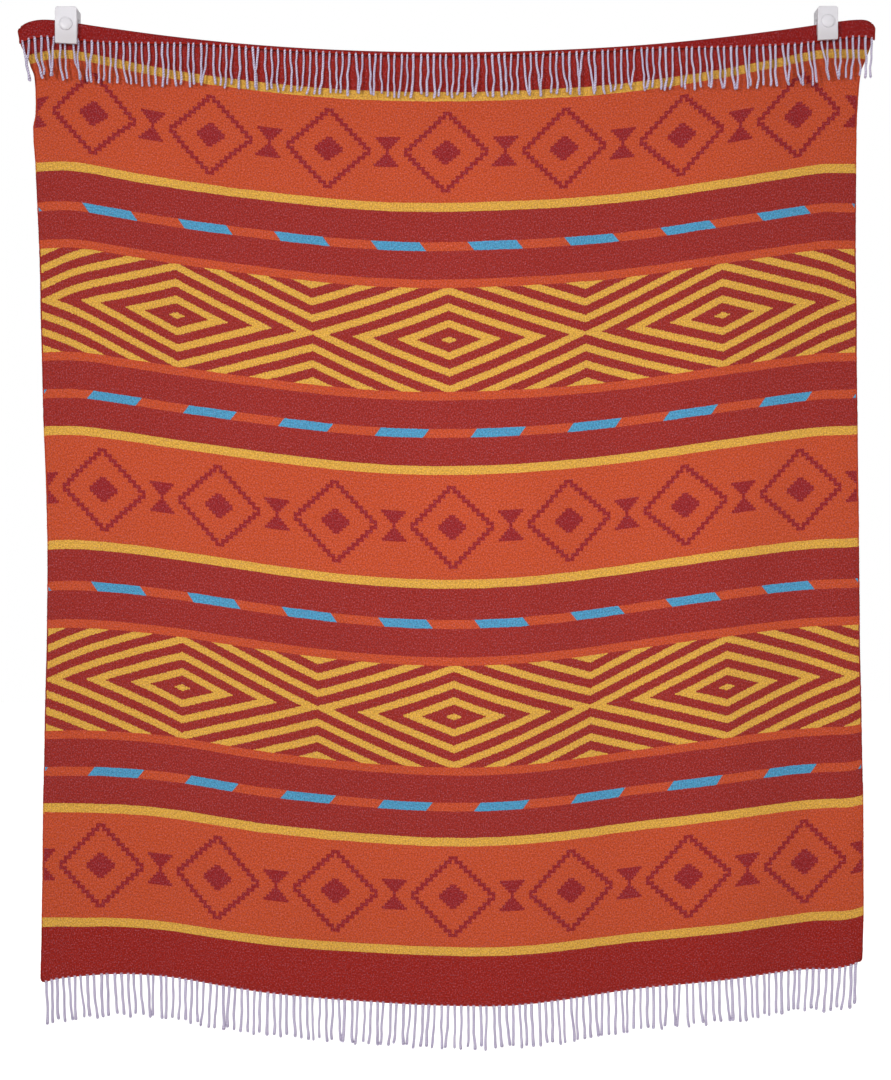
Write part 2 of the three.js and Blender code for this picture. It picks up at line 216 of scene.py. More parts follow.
def flapStraight(across):  # how far the flap hangs straight below the fold
    opensFrom = np.where(across < 0.5, flap["opensLeft"], flap["opensRight"])
    deep = mixed(flap["middle"], flap["corner"], smooth(np.abs(2 * across - 1), opensFrom, flap["opensTo"]))
    return deep - cloth["foldRadius"] - cloth["thickness"] / 2


def roundedBy(fromCorner, radius):  # how far a quarter circle draws the side in, at a distance from a corner
    left = np.clip(1 - fromCorner / radius, 0, 1)
    return radius * (1 - np.sqrt(np.clip(1 - left * left, 0, 1)))


def clothPoint(across, way):  # way runs 0 to 1 up the flap, to 2 over the fold and to 3 at the hem
    # The hanging part's point. In front it swings round the fold by sine and cosine and then drops down the
    # flap, and near the selvedges the rounded corners draw it in.
    share = np.clip(way - 2, 0, 1) ** cloth["topCrowding"]
    point = bodyPoint(across, mixed(cloth["foldRow"], cloth["length"], share))
    inFront = np.clip(2 - way, 0, 1)
    fromLeft = across * cloth["width"] / flap["insetReach"]
    fromRight = (1 - across) * cloth["width"] / flap["insetReach"]
    inset = flap["insetLeft"] * np.exp(-fromLeft) - flap["insetRight"] * np.exp(-fromRight)
    angle = np.pi * (1 - inFront)
    point[..., 0] += inFront * inset
    point[..., 1] -= np.where(inFront > 0, cloth["foldRadius"] * (1 + np.cos(angle)), 0)
    rise = cloth["foldRadius"] * np.sin(angle) - np.clip(1 - way, 0, 1) * flapStraight(across)
    point[..., 2] += np.where(inFront > 0, rise, 0)
    hanging = cloth["length"] - cloth["foldRow"]
    fromFold = np.clip(1 - way, 0, 1) * flapStraight(across) + share * hanging
    atHem = roundedBy((1 - share) * hanging, rounding["hem"])
    nearLeft = np.exp(-across * cloth["width"] / rounding["reach"])
    nearRight = np.exp((across - 1) * cloth["width"] / rounding["reach"])
    point[..., 0] += (roundedBy(fromFold, rounding["foldLeft"]) + atHem) * nearLeft
    point[..., 0] -= (roundedBy(fromFold, rounding["foldRight"]) + atHem) * nearRight
    return point


def wovenDown(across, way):  # distance down the cloth, in its own weave
    hanging = mixed(cloth["foldRow"], cloth["length"], np.clip(way - 2, 0, 1) ** cloth["topCrowding"])
    overFold = np.pi * cloth["foldRadius"] * np.clip(2 - way, 0, 1)
    return hanging - overFold - np.clip(1 - way, 0, 1) * flapStraight(across)


def clothDirections(across, way):  # unit vectors across, onwards and out of the fold's outer side
    step = 1e-3
    a, w = np.clip(across, step, 1 - step), np.clip(way, step, 3 - step)
    aside = unit(clothPoint(a + step, w) - clothPoint(a - step, w))
    onwards = unit(clothPoint(a, w + step) - clothPoint(a, w - step))
    return aside, onwards, unit(np.cross(aside, onwards))


def piece(name, points, faces, material, attributes=None, uv=None):
    # a mesh from points in millimetres, one number per point for each attribute, and a UV map per point
    mesh = bpy.data.meshes.new(name)
    mesh.from_pydata((np.asarray(points) * mm).tolist(), [], faces)
    for key, values in (attributes or {}).items():
        mesh.attributes.new(key, "FLOAT", "POINT").data.foreach_set("value", np.asarray(values, np.float32))
    if uv is not None:
        corner = np.empty(len(mesh.loops), int)
        mesh.loops.foreach_get("vertex_index", corner)
        mesh.uv_layers.new(name="weave").data.foreach_set("uv", (uv[corner] * mm).astype(np.float32).ravel())
    mesh.polygons.foreach_set("use_smooth", np.ones(len(mesh.polygons), bool))
    mesh.materials.append(material)
    made = bpy.data.objects.new(name, mesh)
    bpy.context.scene.collection.objects.link(made)
    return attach(made, "root")


def ringFaces(rings, sides, start):  # quads between rings of points, each ring closed on itself
    r, k = np.meshgrid(np.arange(rings - 1), np.arange(sides), indexing="ij")
    nextK = (k + 1) % sides
    quads = np.stack([r * sides + k, (r + 1) * sides + k, (r + 1) * sides + nextK, r * sides + nextK], -1)
    return (quads.reshape(-1, 4) + start).tolist()


def tubeFaces(rings, sides, start=0):  # the same, closed at both ends
    last = start + rings * sides - 1
    ends = [list(range(start, start + sides)), list(range(last, last - sides, -1))]
    return ringFaces(rings, sides, start) + ends


def weldEnds(made, gap):
    bm = bmesh.new()
    bm.from_mesh(made.data)
    bmesh.ops.remove_doubles(bm, verts=bm.verts, dist=gap)
    bm.to_mesh(made.data)
    bm.free()


def turnOutwards(made):
    bm = bmesh.new()
    bm.from_mesh(made.data)
    bmesh.ops.recalc_face_normals(bm, faces=bm.faces)
    bm.to_mesh(made.data)
    bm.free()


def makeCloth(material):
    # Each woven row is a ring: the front from left to right, round the right selvedge, the back, and round
    # the left one. Half the thickness swings round the rims by sine and cosine, at the cut ends too.
    columns, rim = cloth["columns"], cloth["rimSteps"]
    u = np.arange(columns + 1) / columns
    across = u - cloth["sideCrowding"] * np.sin(2 * np.pi * u) / (2 * np.pi)
    ways = np.concatenate([
        np.arange(cloth["flapRows"]) / cloth["flapRows"],
        1 + np.arange(cloth["turnRows"]) / cloth["turnRows"],
        2 + np.arange(cloth["bodyRows"] + 1) / cloth["bodyRows"],
    ])
    round90 = np.arange(1, rim + 1) / rim * np.pi / 2
    way = np.concatenate([np.zeros(rim), ways, np.full(rim, 3.0)])
    tip = np.concatenate([-round90[::-1], np.zeros(len(ways)), round90])
    arc = np.arange(1, 2 * rim) / (2 * rim) * np.pi
    ringAcross = np.concatenate([across, np.ones(len(arc)), across[::-1], np.zeros(len(arc))])
    ringSide = np.concatenate([-np.ones(columns + 1), -np.cos(arc), np.ones(columns + 1), np.cos(arc)])
    ringOut = np.concatenate([np.zeros(columns + 1), np.sin(arc), np.zeros(columns + 1), -np.sin(arc)])
    half = cloth["thickness"] / 2
    w, a = np.meshgrid(way, ringAcross, indexing="ij")
    aside, onwards, normal = clothDirections(a, w)
    thin = np.cos(tip)[:, None, None]
    points = clothPoint(a, w) + half * thin * (normal * ringSide[:, None] + aside * ringOut[:, None])
    points += half * onwards * np.sin(tip)[:, None, None]
    uv = np.stack([a * cloth["width"], wovenDown(a, w)], -1).reshape(-1, 2)
    side = np.broadcast_to((ringSide + 1) / 2, a.shape).ravel()
    # painted shadow: a mask that darkens the front of the hanging part just below the flap's edge
    flapEdge = bodyPoint(a, np.full_like(a, cloth["foldRow"]))[..., 2] - flapStraight(a)
    below = np.clip(flapEdge - points[..., 2], 0, None) / cloth["flapShadowReach"]
    tucked = np.where(w > 2, np.exp(-below * below), 0).ravel() * (1 - side)
    faces = ringFaces(len(way), len(ringAcross), 0)
    attributes = {"backFace": side, "tucked": tucked}
    made = piece("throw_cloth", points.reshape(-1, 3), faces, material, attributes, uv)
    weldEnds(made, 1e-6)
    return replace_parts(made, "cloth")


# A whipped edge: one yarn wound round and round each selvedge.
whipping = {
    "pitch": 2.1,
    "stationsPerTurn": 4,
    "sides": 8,
    "outward": 1.5,  # half its width across the cloth
    "deep": 1.9,  # half its depth through the cloth
    "bulge": 0.17,
    "uneven": 0.12,
    "endSize": 0.3,
    "wander": 0.35,
    "wanderEvery": 9,
    "wanderWave": 23,
    "slant": 0.6,  # turns that the yarn gains on its way round the edge
    "samples": 6000,
    "tint": (0.5, 0.3, 0.28, 1),
}


def makeWhipping(name, across, outSign, material):
    # A tube along a selvedge whose radius rises and falls with each slanting turn of yarn.
    way = np.linspace(0, 3, whipping["samples"])
    path = clothPoint(np.full_like(way, across), way)
    length = np.concatenate([[0], np.cumsum(np.linalg.norm(np.diff(path, axis=0), axis=1))])
    turns = int(length[-1] / whipping["pitch"])
    s = np.linspace(0, length[-1], turns * whipping["stationsPerTurn"] + 1)
    w = np.interp(s, length, way)
    edge = np.full_like(w, across)
    aside, onwards, normal = clothDirections(edge, w)
    theta = np.arange(whipping["sides"]) / whipping["sides"] * 2 * np.pi
    turn = s[:, None] / whipping["pitch"] + whipping["slant"] * np.cos(theta)
    swell = 1 + whipping["bulge"] * (2 * np.abs(np.sin(np.pi * turn)) - 1)
    swell *= 1 + whipping["uneven"] * (chance(np.floor(turn), 5) - 0.5)
    swell[[0, -1]] *= whipping["endSize"]
    wander = chance(np.floor(s / whipping["wanderEvery"]), 8) - 0.5 + np.sin(s / whipping["wanderWave"]) * 0.5
    out = aside * outSign
    centre = clothPoint(edge, w) + out * (whipping["wander"] * wander)[:, None]
    ring = (np.cos(theta) * whipping["outward"] * swell)[..., None] * out[:, None]
    ring += (np.sin(theta) * whipping["deep"] * swell)[..., None] * normal[:, None] * outSign
    points = (centre[:, None] + ring).reshape(-1, 3)
    faces = tubeFaces(len(s), whipping["sides"])
    down = np.broadcast_to(wovenDown(edge, w)[:, None], turn.shape)
    return piece(name, points, faces, material, {"turn": turn.ravel(), "down": down.ravel()})


# The fringes: twisted two-ply strands that grow out of the cut ends.
fringe = {
    "length": 63,
    "lengthVariation": 3.5,
    "inside": 1.2,  # how far a strand starts inside the cloth
    "stations": 11,
    "firstStation": 0.05,  # the places next to the root and the tip, as shares of the length
    "lastStation": 0.975,
    "sides": 6,
    "radius": 1.62,
    "radiusVariation": 0.14,
    "fraying": 0.07,
    "root": 0.34,  # extra thickness at the root
    "rootReach": 3.6,
    "tipSwell": 0.16,
    "tipPlace": 2.5,
    "tipReach": 7,
    "tipSize": 0.45,
    "bend": 1.4,
    "swings": (0.85, 1.7, 2.9),  # of the three faint waves, in one strand's length
    "loosens": 0.7,  # the power by which those waves grow from the root
    "driftWaves": (5.3, 12.7),  # a quick one and a slow one along the fringe, in strands for each radian
    "jitter": 0.24,  # of the roots, as a share of their pitch
    "ownLean": 0.8,
    "pairShare": 0.46,
    "crossShare": 0.12,
    "crosses": 1.7,  # how far a strand swings towards its partner: past it, up to it, or hardly at all
    "meets": 1.0,
    "alone": 0.12,
    "rest": 3.2,
    "earRest": 4.2,  # how much further off the cloth the strands hang at its ears
    "earsFrom": 0.6,
    "earLean": 6,
    "earStraightens": 1.6,  # how much of that lean is undone, and turned round, at the right end
    "straightensFrom": 0.94,
    "straightensTo": 0.995,
    "settle": 0.8,
    "lift": 3.4,  # how far one strand of a pair comes forward of the other
    "liftFrom": 0.15,
    "liftTo": 0.75,
    "liftLimit": 1.1,
}
topEnd = {
    "way": 0.0, "strands": 133, "seed": 3, "onCloth": True,
    "lean": 2.6, "drift": 0.8, "wave": 1.5, "closeUp": 3.6, "stout": 1.0,
}
bottomEnd = {
    "way": 3.0, "strands": 128, "seed": 31, "onCloth": False,
    "lean": 1.3, "drift": 2.2, "wave": 0.8, "closeUp": 1.5, "stout": 1.28,
}


def downAtHeight(across, z):  # the row that hangs at a height, found by repeated corrections
    down = np.full_like(z, cloth["foldRow"])
    for _ in range(10):
        down = down + bodyPoint(across, down)[..., 2] - z
    return down


def strandPaths(end):
    # Root at the cut end, then down with a lean that grows as a power of the share, and three faint waves.
    count, seed = end["strands"], end["seed"]
    i = np.arange(count)
    across = (i + 0.5 + fringe["jitter"] * (chance(i, seed) - 0.5)) / count
    length = fringe["length"] + fringe["lengthVariation"] * (2 * chance(i, seed + 1) - 1)
    pair = i // 2
    partner = np.where(i % 2 == 0, 1.0, -1.0)
    luck = chance(pair, seed + 2)
    together = np.where(luck < fringe["pairShare"], fringe["meets"], fringe["alone"])
    together = np.where(luck < fringe["crossShare"], fringe["crosses"], together)
    drift = end["lean"] * (2 * chance(pair, seed + 3) - 1)
    drift += fringe["ownLean"] * (2 * chance(i, seed + 4) - 1)
    quick, slow = fringe["driftWaves"]
    drift += end["drift"] * (np.sin(i / quick) + np.sin(i / slow + 1))
    ear = smooth(np.abs(2 * across - 1), fringe["earsFrom"], 1) if end["onCloth"] else 0 * across
    nearRight = smooth(across, fringe["straightensFrom"], fringe["straightensTo"])
    straighter = 1 - fringe["earStraightens"] * nearRight
    lean = drift + partner * together * end["closeUp"] + fringe["earLean"] * ear * straighter
    between = np.linspace(fringe["firstStation"], fringe["lastStation"], fringe["stations"] - 2)
    share = np.concatenate([[0], between, [1]])[None]
    a = across[:, None] + 0 * share
    root = clothPoint(a, np.full_like(a, end["way"]))
    root[..., 2] += fringe["inside"]
    drop = share * (length + fringe["inside"])[:, None]
    wave = sum(
        end["wave"] / n * np.sin(2 * np.pi * (share * swings + chance(i, seed + 5 + n)[:, None]))
        for n, swings in enumerate(fringe["swings"], 1)
    )
    path = root.copy()
    path[..., 0] += lean[:, None] * share ** fringe["bend"] + wave * share ** fringe["loosens"]
    path[..., 2] -= drop
    forward = fringe["lift"] * (i % 2) * np.minimum(together, fringe["liftLimit"])
    lift = forward[:, None] * smooth(share, fringe["liftFrom"], fringe["liftTo"])
    if end["onCloth"]:
        behind = bodyPoint(a, downAtHeight(a, path[..., 2]))[..., 1] - cloth["thickness"] / 2
        resting = behind - fringe["rest"] - fringe["radius"] - fringe["earRest"] * ear[:, None]
        path[..., 1] = mixed(path[..., 1], resting, smooth(share, 0, fringe["settle"]))
    path[..., 1] -= lift
    return path, drop, i


def makeFringe(name, node, end, material):
    # A six-sided tube along each path: thick at its root and near its tip, where a small ring closes it.
    path, drop, i = strandPaths(end)
    seed, rings, sides = end["seed"], fringe["stations"], fringe["sides"]
    tangent = unit(np.gradient(path, axis=1))
    right = unit(np.array([1.0, 0, 0]) - tangent * tangent[..., :1])
    forward = np.cross(tangent, right)
    theta = np.arange(sides) / sides * 2 * np.pi
    left = drop[:, -1:] - drop
    size = 1 + fringe["root"] * np.exp(-((drop / fringe["rootReach"]) ** 2))
    size += fringe["tipSwell"] * np.exp(-(((left - fringe["tipPlace"]) / fringe["tipReach"]) ** 2))
    size *= 1 + fringe["radiusVariation"] * (2 * chance(i, seed + 11)[:, None] - 1)
    size *= 1 + fringe["fraying"] * (2 * chance(i[:, None] * rings + np.arange(rings), seed + 12) - 1)
    size[:, -1] *= fringe["tipSize"]
    ring = fringe["radius"] * end["stout"] * size[..., None]
    points = path[:, :, None] + (ring * np.cos(theta))[..., None] * right[:, :, None]
    points = points + (ring * np.sin(theta))[..., None] * forward[:, :, None]
    faces = []
    for start in range(0, len(i) * rings * sides, rings * sides):
        faces += tubeFaces(rings, sides, start)
    shape = points.shape[:-1]
    values = {  # for the yarn's look: places along the strand and round it, and a number for each strand
        "fromRoot": drop[..., None],
        "toTip": left[..., None],
        "roundCos": np.cos(theta),
        "roundSin": np.sin(theta),
        "strand": chance(i, 77)[:, None, None],
    }
    attributes = {key: np.broadcast_to(value, shape).ravel() for key, value in values.items()}
    made = piece(name, points.reshape(-1, 3), faces, material, attributes)
    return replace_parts(made, node)


# The overcast cut ends: a red yarn that bulges out between the roots of the strands.
overcast = {
    "steps": 6,
    "sides": 8,
    "outward": 1.5,
    "deep": 1.95,
    "thin": 0.62,
    "endSize": 0.3,
    "inside": 0.1,
    "uneven": 0.24,
    "tint": (0.85, 0.7, 0.66, 1),
}


def makeOvercast(name, end, material):
    # A tube along a cut end. Its radius follows |cos| of the place across, so it is thin at each root.
    lumps = end["strands"]
    across = np.linspace(0, 1, lumps * overcast["steps"] + 1)
    way = np.full_like(across, end["way"])
    aside, onwards, normal = clothDirections(across, way)
    out = onwards if end["way"] > 0 else -onwards
    lump = np.round(across * lumps)
    bulge = np.abs(np.cos(np.pi * across * lumps))
    bulge *= 1 + overcast["uneven"] * (2 * chance(lump, end["seed"]) - 1)
    size = mixed(overcast["thin"], 1, bulge)
    size[[0, -1]] = overcast["endSize"]
    theta = np.arange(overcast["sides"]) / overcast["sides"] * 2 * np.pi
    centre = clothPoint(across, way) - overcast["inside"] * out
    ring = (np.cos(theta) * overcast["outward"] * size[:, None])[..., None] * out[:, None]
    ring = ring + (np.sin(theta) * overcast["deep"] * size[:, None])[..., None] * normal[:, None]
    points = (centre[:, None] + ring).reshape(-1, 3)
    faces = tubeFaces(len(across), overcast["sides"])
    turn = np.broadcast_to(lump[:, None], ring.shape[:2]).ravel()
    down = np.full(turn.shape, wovenDown(np.array(0.5), np.array(end["way"])))
    made = piece(name, points, faces, material, {"turn": turn, "down": down})
    turnOutwards(made)
    return made


# The two wall clips. Depths are counted from the wall, and places across from each clip's middle.
clips = [
    {
        "name": "clip_left", "x": clipHold["left"], "width": 32.5, "top": 26, "bottom": -28.5,
        "button": 0, "towardsMiddle": 1,
    },
    {
        "name": "clip_right", "x": clipHold["right"], "width": 30, "top": 26.6, "bottom": -23,
        "button": 4, "towardsMiddle": -1,
    },
]
clip = {
    "depth": 26,
    "bridge": 9,
    "lip": -13,
    "backRelief": 2.2,
    "frontRelief": 3.4,
    "corner": 2.6,
    "gap": 0.3,
    "bevel": 1.1,
    "bottomSlope": 0.05,  # the plates' lower edges drop a little towards the middle of the throw
}
button = {
    "radius": 9.6,
    "foot": 8.7,
    "rim": 1.4,
    "height": 3.8,
    "fillet": 0.7,
    "filletPoints": 5,
    "footShare": 0.6,  # how much of the rim's height the drawn-in foot takes
    "segments": 64,
    "rings": 14,
}


def makeClip(place, material):
    # The side outline, a U that is open below, carried across the clip, with lowered corners at its sides.
    back = clipHold["depth"] - cloth["thickness"] / 2 - clip["gap"]
    front = clipHold["depth"] + 2 * cloth["foldRadius"] + cloth["thickness"] / 2 + clip["gap"]
    lip, bottom, top = clip["lip"], place["bottom"], place["top"]
    outline = np.array([
        (0, bottom),
        (back - clip["backRelief"], bottom),
        (back - clip["backRelief"], lip - clip["backRelief"]),
        (back, lip),
        (back, clip["bridge"]),
        (front, clip["bridge"]),
        (front, lip),
        (front + clip["frontRelief"], lip - clip["frontRelief"]),
        (front + clip["frontRelief"], bottom),
        (clip["depth"], bottom),
        (clip["depth"], top),
        (0, top),
    ])
    half = place["width"] / 2
    across = np.array([-half, clip["corner"] - half, half - clip["corner"], half])
    x, k = np.meshgrid(across, np.arange(len(outline)), indexing="ij")
    depth, height = outline[k, 0], outline[k, 1]
    lowered = np.where((height == top) & (np.abs(x) == half), clip["corner"], 0)
    slope = np.where(height == bottom, clip["bottomSlope"] * x * place["towardsMiddle"], 0)
    points = np.stack([place["x"] + x, -depth, height - lowered - slope], -1).reshape(-1, 3)
    faces = tubeFaces(len(across), len(outline))
    made = piece(place["name"] + "_moulded", points, faces, material)
    turnOutwards(made)
    roundEdges(made, clip["bevel"])
    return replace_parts(made, place["name"])


def roundEdges(made, width):
    bevel = made.modifiers.new("rounded", "BEVEL")
    bevel.width = width * mm
    bevel.segments = 3
    bevel.limit_method = "ANGLE"
    bevel.harden_normals = True


def makeButton(place, material):
    # A lathe profile turned about the depth direction: drawn-in foot, rim, fillet and shallow dome.
    r, rim, fillet = button["radius"], button["rim"], button["fillet"]
    turn = np.linspace(0, np.pi / 2, button["filletPoints"])
    share = np.linspace(1, 0, button["rings"])[1:-1]
    domeRadius = (r - fillet) * share
    domeHeight = mixed(rim + fillet, button["height"], np.sqrt(np.clip(1 - share**2, 0, 1)))
    radius = np.concatenate([[button["foot"], r], r - fillet + fillet * np.cos(turn), domeRadius])
    height = np.concatenate([[0, rim * button["footShare"]], rim + fillet * np.sin(turn), domeHeight])
    theta = np.arange(button["segments"]) / button["segments"] * 2 * np.pi
    x = place["x"] + radius[:, None] * np.cos(theta)
    z = place["button"] + radius[:, None] * np.sin(theta)
    y = np.broadcast_to(-(clip["depth"] + clip["gap"] + height)[:, None], x.shape)
    points = np.stack([x, y, z], -1).reshape(-1, 3)
    faces = tubeFaces(len(radius), button["segments"])
    made = piece(place["name"] + "_dome", points, faces, material)
    turnOutwards(made)
    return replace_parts(made, place["name"] + "_button")


# Shader maths: a wire is a socket that plain arithmetic works on, and a look is a material under way.
class Wire:
    def __init__(self, look, socket):
        self.look, self.socket = look, socket

    def __add__(self, other):
        return self.look.maths("ADD", self, other)

    def __sub__(self, other):
        return self.look.maths("SUBTRACT", self, other)

    def __rsub__(self, other):
        return self.look.maths("SUBTRACT", other, self)

    def __mul__(self, other):
        return self.look.maths("MULTIPLY", self, other)

    def __truediv__(self, other):
        return self.look.maths("DIVIDE", self, other)

    def __lt__(self, other):
        return self.look.maths("LESS_THAN", self, other)

    def __gt__(self, other):
        return self.look.maths("GREATER_THAN", self, other)

    __radd__ = __add__
    __rmul__ = __mul__


class Look:
    def __init__(self, name, **surface):
        self.material = bpy.data.materials.new(name)
        self.material.use_nodes = True
        self.tree = self.material.node_tree
        self.shader = self.tree.nodes["Principled BSDF"]
        for socket, value in surface.items():
            self.shader.inputs[socket.replace("_", " ")].default_value = value

    def node(self, kind, settings, inputs, output=0):
        made = self.tree.nodes.new("ShaderNode" + kind)
        for key, value in settings.items():
            if key == "stops":
                setStops(made.color_ramp, value)
            else:
                setattr(made, key, value)
        for key, value in inputs.items():
            self.fill(made.inputs[key], value)
        if isinstance(output, tuple):
            return [Wire(self, made.outputs[k]) for k in output]
        return Wire(self, made.outputs[output])

    def fill(self, socket, value):
        if isinstance(value, Wire):
            self.tree.links.new(value.socket, socket)
        else:
            socket.default_value = value

    def maths(self, operation, *values):
        return self.node("Math", {"operation": operation}, dict(enumerate(values)))

    def mix(self, share, a, b, blend="MIX"):
        return self.node("Mix", {"data_type": "RGBA", "blend_type": blend}, {0: share, 6: a, 7: b}, 2)

    def attribute(self, name):
        return self.node("Attribute", {"attribute_name": name}, {}, "Fac")

    def noise(self, place, scale, detail=2.0, rough=0.5):
        inputs = {"Vector": place, "Scale": scale, "Detail": detail, "Roughness": rough}
        return self.node("TexNoise", {"noise_dimensions": "3D"}, inputs)

    def point(self, x, y, z=0.0):
        return self.node("CombineXYZ", {}, {0: x, 1: y, 2: z})

    def softStep(self, value, low, high):
        settings = {"interpolation_type": "SMOOTHSTEP"}
        return self.node("MapRange", settings, {"Value": value, "From Min": low, "From Max": high})

    def bump(self, height, distance, strength):
        inputs = {"Height": height, "Distance": distance, "Strength": strength}
        self.fill(self.shader.inputs["Normal"], self.node("Bump", {}, inputs))


def setStops(ramp, stops):
    ramp.interpolation = "CONSTANT"
    ramp.elements.remove(ramp.elements[-1])
    ramp.elements[0].position, ramp.elements[0].color = stops[0]
    for place, colour in stops[1:]:
        ramp.elements.new(place).color = colour


def colour(red, green, blue):  # a screen colour, 0 to 255, as linear light
    c = np.array([red, green, blue]) / 255
    linear = np.where(c <= 0.04045, c / 12.92, ((c + 0.055) / 1.055) ** 2.4)
    return (*linear.tolist(), 1.0)


wool = {
    "red": colour(168, 50, 40),
    "endRed": colour(167, 40, 28),
    "foldedRed": colour(156, 28, 20),
    "darkRed": colour(163, 43, 42),
    "orange": colour(213, 88, 46),
    "gold": colour(239, 187, 76),
    "blue": colour(84, 171, 213),
    "warp": colour(200, 170, 196),  # the pale warp that shows through as flecks
    "darkFibre": (0.42, 0.3, 0.33, 1),  # this and the next three darken the colour that they lie on
    "clouding": (0.6, 0.55, 0.6, 1),
    # the colour of the painted shadow below the flap's edge
    "flapShadowColour": (0.3, 0.12, 0.12, 1),
    "edgeNap": (0.5, 0.4, 0.42, 1),
    "fleckShare": 0.26,
    "mottleShare": 0.84,
    "cloudShare": 0.07,
    "flapShade": 0.75,
    "edgeWobble": 0.9,
    "edgeFuzz": 0.8,
    "ribPitch": 1.5,
    "columnPitch": 2.4,
}
woven = [  # where each band ends, down the cloth, and what it is
    (72, "end"), (85, "gold"), (238, "motif"), (251, "gold"), (296, "red"), (309, "dashFalling"),
    (351, "red"), (363.5, "line"), (515.5, "lozenge"), (528, "line"), (570, "red"), (583, "dashRising"),
    (624.5, "red"), (637.5, "gold"), (792, "motif"), (805, "gold"), (851, "red"), (864, "dashFalling"),
    (906, "red"), (918.5, "line"), (1069.5, "lozenge"), (1081.5, "line"), (1122.5, "red"),
    (1135.5, "dashRising"), (1175.5, "red"), (1188.5, "gold"), (1341, "motif"), (1354, "gold"), (1426, "end"),
]
frontColours = {
    "end": "endRed", "red": "red", "gold": "gold", "motif": "orange", "line": "orange", "lozenge": "red",
    "dashFalling": "orange", "dashRising": "orange",
}
backColours = {
    "end": "foldedRed", "red": "red", "gold": "gold", "motif": "darkRed", "line": "gold", "lozenge": "gold",
    "dashFalling": "blue", "dashRising": "blue",
}
figureColours = {  # of the figures in each kind of band, on the front and on the back
    "motif": ("darkRed", "orange"), "lozenge": ("gold", "red"), "dash": ("blue", "orange"),
}
diamonds = {
    "pitch": 181.4, "steps": 9, "high": 6.8, "wide": 7.2, "line": 5.2,
    "heart": 4, "heartHigh": 4.6, "heartWide": 5.4,
}
hourglass = {"steps": 5, "high": 4.6, "wide": 4.2, "waist": 2.4}
lozenges = {
    "pitch": 423.3, "halfHigh": 76, "rings": 3.1, "share": 0.45, "start": 0.28,
    "cellWide": 2.0, "cellHigh": 1.2,
}
dashes = {"pitch": 149.3, "half": 37.6, "slant": 0.8}


def bandNumber(v):  # how many bands end above a place, as a share of them all
    return (sum(v > end for end, _ in woven[:-1]) + 0.5) / len(woven)


def bandStops(valueOf):  # one stop for each band
    starts = [0] + [end for end, _ in woven[:-1]]
    values = [valueOf(start, end, kind) for start, (end, kind) in zip(starts, woven)]
    return [(n / len(woven), value) for n, value in enumerate(values)]


def bandColours(table):
    return bandStops(lambda start, end, kind: wool[table[kind]])


def bandKinds():
    # red for figures in orange bands, green for lozenges, blue for dashes and which way they slant
    kinds = {
        "motif": (1, 0, 0, 1), "lozenge": (0, 1, 0, 1),
        "dashFalling": (0, 0, 1, 1), "dashRising": (0, 0, 0.5, 1),
    }
    return bandStops(lambda start, end, kind: kinds.get(kind, (0, 0, 0, 1)))


def bandMiddles():
    def middle(start, end, kind):
        height = (start + end) / 2 / cloth["length"]
        return (height, height, height, 1)
    return bandStops(middle)


def stepped(look, a, b, steps, high, wide):
    # 1 inside a terraced diamond: a step row k up from its middle is (steps - k) treads wide
    row = look.maths("FLOOR", b / high)
    return (a < (steps - row) * wide) * (b < steps * high)


def figuresOf(look, u, q, kinds):
    # The figures woven into the bands, from u across and q up or down from each band's own middle.
    absQ = look.maths("ABSOLUTE", q)

    def fromMiddle(pitch, shift):  # distance across from the nearest figure's middle
        turns = look.maths("FRACT", (u - cloth["width"] / 2) / pitch + shift)
        return look.maths("ABSOLUTE", turns - 0.5) * pitch

    d = diamonds
    p = fromMiddle(d["pitch"], 0.5)
    outer = stepped(look, p, absQ, d["steps"], d["high"], d["wide"])
    inner = stepped(look, p + d["line"], absQ + d["line"], d["steps"], d["high"], d["wide"])
    heart = stepped(look, p, absQ, d["heart"], d["heartHigh"], d["heartWide"])
    between = fromMiddle(d["pitch"], 0.0)
    h = hourglass
    tread = look.maths("FLOOR", absQ / h["high"])
    glass = (between < tread * h["wide"] + h["waist"]) * (absQ < h["steps"] * h["high"])
    motif = look.maths("MINIMUM", outer * (1 - inner) + heart + glass, 1.0)

    z = lozenges
    cellU = look.maths("SNAP", u - cloth["width"] / 2, z["cellWide"])
    cellQ = look.maths("SNAP", absQ, z["cellHigh"])
    reach = look.maths("ABSOLUTE", look.maths("FRACT", cellU / z["pitch"] + 0.5) - 0.5) * 2
    nested = look.maths("FRACT", (reach + cellQ / z["halfHigh"]) * z["rings"] + z["start"])
    lozenge = nested < z["share"]

    falls = (kinds[2] > 0.75) * 2 - 1
    slid = (u - cloth["width"] / 2) - q * falls * dashes["slant"]
    dash = look.maths("ABSOLUTE", look.maths("FRACT", slid / dashes["pitch"]) - 0.5) * dashes["pitch"]
    dash = dash < dashes["half"]
    return motif, lozenge, dash


def bandedWool(look, u, v, table, side):
    # Band colours down the cloth, with the figures laid over their own kinds of band.
    band = bandNumber(v)

    def ramp(stops, output="Color"):
        return look.node("ValToRGB", {"stops": stops}, {"Fac": band}, output)

    kinds = look.node("SeparateColor", {}, {0: ramp(bandKinds())}, (0, 1, 2))
    middle = look.node("SeparateColor", {}, {0: ramp(bandMiddles())}, 0)
    motif, lozenge, dash = figuresOf(look, u, v - middle * cloth["length"], kinds)
    shade = ramp(bandColours(table))
    shares = {"motif": motif * kinds[0], "lozenge": lozenge * kinds[1], "dash": dash * (kinds[2] > 0.25)}
    for figure, share in shares.items():
        shade = look.mix(share, shade, wool[figureColours[figure][side]])
    return shade


